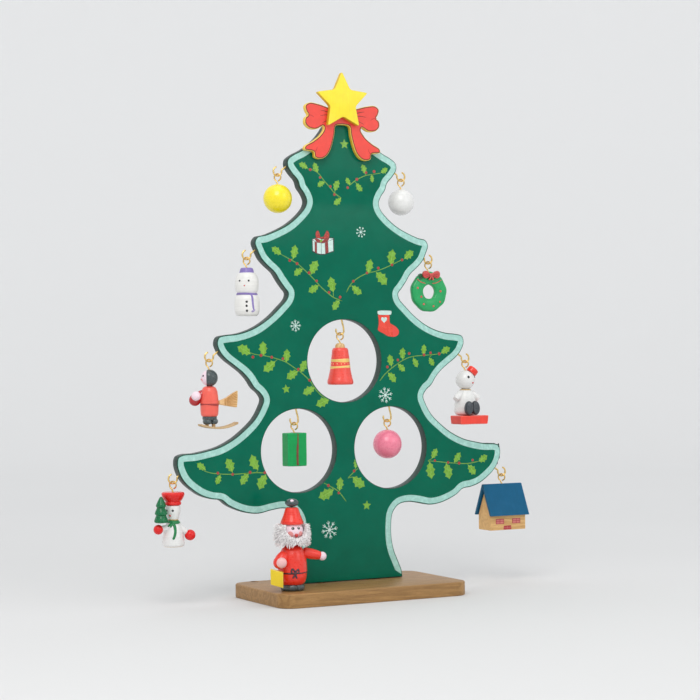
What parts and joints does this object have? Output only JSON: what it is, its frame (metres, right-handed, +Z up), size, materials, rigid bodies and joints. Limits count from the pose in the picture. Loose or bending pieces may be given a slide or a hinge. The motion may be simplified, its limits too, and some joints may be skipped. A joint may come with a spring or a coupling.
{
  "type": "wooden christmas tree",
  "caption": "Flat fretwork wooden tree on a stand plate, with a bow and star on top, screw hooks, small hanging wooden ornaments and a standing figure.",
  "frame": {"origin": "middle of the stand plate's underside, below the trunk", "axes": "+Z up along the trunk, -Y towards the printed front, +X to the right seen from the front"},
  "size_m": [0.241, 0.07, 0.3025],
  "materials": {
    "tree_green": "glossy printed dark green paint on wood, pale mint border",
    "stand_brown": "golden brown board, satin",
    "dowel_wood": "bare pale wood",
    "raw_wood": "bare pale wood",
    "brass": "bright brass plated wire",
    "bow_red": "red paint with gold edges",
    "star_yellow": "yellow paint",
    "paint_red": "glossy red paint",
    "paint_white": "glossy white paint",
    "paint_yellow": "glossy yellow paint",
    "paint_pink": "glossy pink paint",
    "paint_green": "glossy green paint",
    "paint_purple": "satin purple paint",
    "paint_blue": "satin slate blue paint",
    "paint_dark": "satin dark grey paint",
    "paint_skin": "satin pale pink paint",
    "fleece": "white synthetic fur"
  },
  "bodies": {
    "stand": {"stand_plate": "stand_brown", "dowel_left": "dowel_wood", "dowel_right": "dowel_wood"},
    "tree": {"tree_board": "tree_green", "bow": "bow_red", "star": "star_yellow", "hook_left_1": "brass", "hook_left_2": "brass", "hook_left_3": "brass", "hook_left_4": "brass", "hook_right_1": "brass", "hook_right_2": "brass", "hook_right_3": "brass", "hook_right_4": "brass", "hook_top_hole": "brass", "hook_lower_left_hole": "brass", "hook_lower_right_hole": "brass"},
    "santa": {"santa_body": "paint_red", "santa_arm_left": "paint_red", "santa_arm_right": "paint_red", "santa_bag": "paint_yellow", "santa_head": "paint_skin", "santa_beard": "fleece", "santa_hat": "paint_red", "santa_pompom": "paint_dark"},
    "yellow_ball_hanging": {"yellow_ball": "paint_yellow", "yellow_ball_eye": "brass"},
    "cap_snowman_hanging": {"cap_snowman_body": "paint_white", "cap_snowman_scarf": "paint_purple", "cap_snowman_eye": "brass"},
    "skier_hanging": {"skier_head": "paint_dark", "skier_body": "paint_red", "skier_runner": "raw_wood", "skier_broom": "raw_wood", "skier_eye": "brass"},
    "tall_snowman_hanging": {"tall_snowman_hat": "paint_red", "tall_snowman_head": "paint_white", "tall_snowman_body": "paint_white", "tall_snowman_tree": "paint_green", "tall_snowman_scarf": "paint_green", "tall_snowman_eye": "brass"},
    "white_ball_hanging": {"white_ball": "paint_white", "white_ball_eye": "brass"},
    "wreath_hanging": {"wreath": "paint_green", "wreath_bow": "paint_red", "wreath_eye": "brass"},
    "sled_snowman_hanging": {"sled_snowman_head": "paint_white", "sled_snowman_body": "paint_white", "sled_snowman_boots": "paint_dark", "sled": "paint_red", "sled_snowman_eye": "brass"},
    "house_hanging": {"house_roof": "paint_blue", "house_body": "raw_wood", "house_eye": "brass"},
    "bell_hanging": {"bell": "paint_red", "bell_eye": "brass"},
    "gift_box_hanging": {"gift_box": "paint_green", "gift_box_eye": "brass"},
    "pink_ball_hanging": {"pink_ball": "paint_pink", "pink_ball_eye": "brass"}
  },
  "joints": [
    {"name": "tree_lift", "type": "slide", "parent": "stand", "child": "tree", "axis": [0, 0, 1], "range_m": [0, 0.0125]},
    {"name": "santa_lift", "type": "slide", "parent": "stand", "child": "santa", "axis": [0, 0, 1], "range_m": [0, 0.0065]},
    {"name": "yellow_ball_swing", "type": "hinge", "parent": "tree", "child": "yellow_ball_hanging", "pos_m": [-0.0406, 0, 0.2418], "axis": [1, 0, 0], "range_deg": [-45, 45]},
    {"name": "cap_snowman_swing", "type": "hinge", "parent": "tree", "child": "cap_snowman_hanging", "pos_m": [-0.0606, 0, 0.1938], "axis": [1, 0, 0], "range_deg": [-45, 45]},
    {"name": "skier_swing", "type": "hinge", "parent": "tree", "child": "skier_hanging", "pos_m": [-0.0844, 0, 0.1363], "axis": [1, 0, 0], "range_deg": [-45, 45]},
    {"name": "tall_snowman_swing", "type": "hinge", "parent": "tree", "child": "tall_snowman_hanging", "pos_m": [-0.1071, 0, 0.0688], "axis": [1, 0, 0], "range_deg": [-45, 45]},
    {"name": "white_ball_swing", "type": "hinge", "parent": "tree", "child": "white_ball_hanging", "pos_m": [0.0403, 0, 0.2413], "axis": [1, 0, 0], "range_deg": [-45, 45]},
    {"name": "wreath_swing", "type": "hinge", "parent": "tree", "child": "wreath_hanging", "pos_m": [0.0583, 0, 0.1928], "axis": [1, 0, 0], "range_deg": [-45, 45]},
    {"name": "sled_snowman_swing", "type": "hinge", "parent": "tree", "child": "sled_snowman_hanging", "pos_m": [0.0833, 0, 0.1338], "axis": [1, 0, 0], "range_deg": [-45, 45]},
    {"name": "house_swing", "type": "hinge", "parent": "tree", "child": "house_hanging", "pos_m": [0.1083, 0, 0.0648], "axis": [1, 0, 0], "range_deg": [-45, 45]},
    {"name": "bell_swing", "type": "hinge", "parent": "tree", "child": "bell_hanging", "pos_m": [-0.0014, 0, 0.1508], "axis": [1, 0, 0], "range_deg": [-45, 45]},
    {"name": "gift_box_swing", "type": "hinge", "parent": "tree", "child": "gift_box_hanging", "pos_m": [-0.0316, 0, 0.0995], "axis": [1, 0, 0], "range_deg": [-45, 45]},
    {"name": "pink_ball_swing", "type": "hinge", "parent": "tree", "child": "pink_ball_hanging", "pos_m": [0.0294, 0, 0.0997], "axis": [1, 0, 0], "range_deg": [-45, 45]}
  ]
}
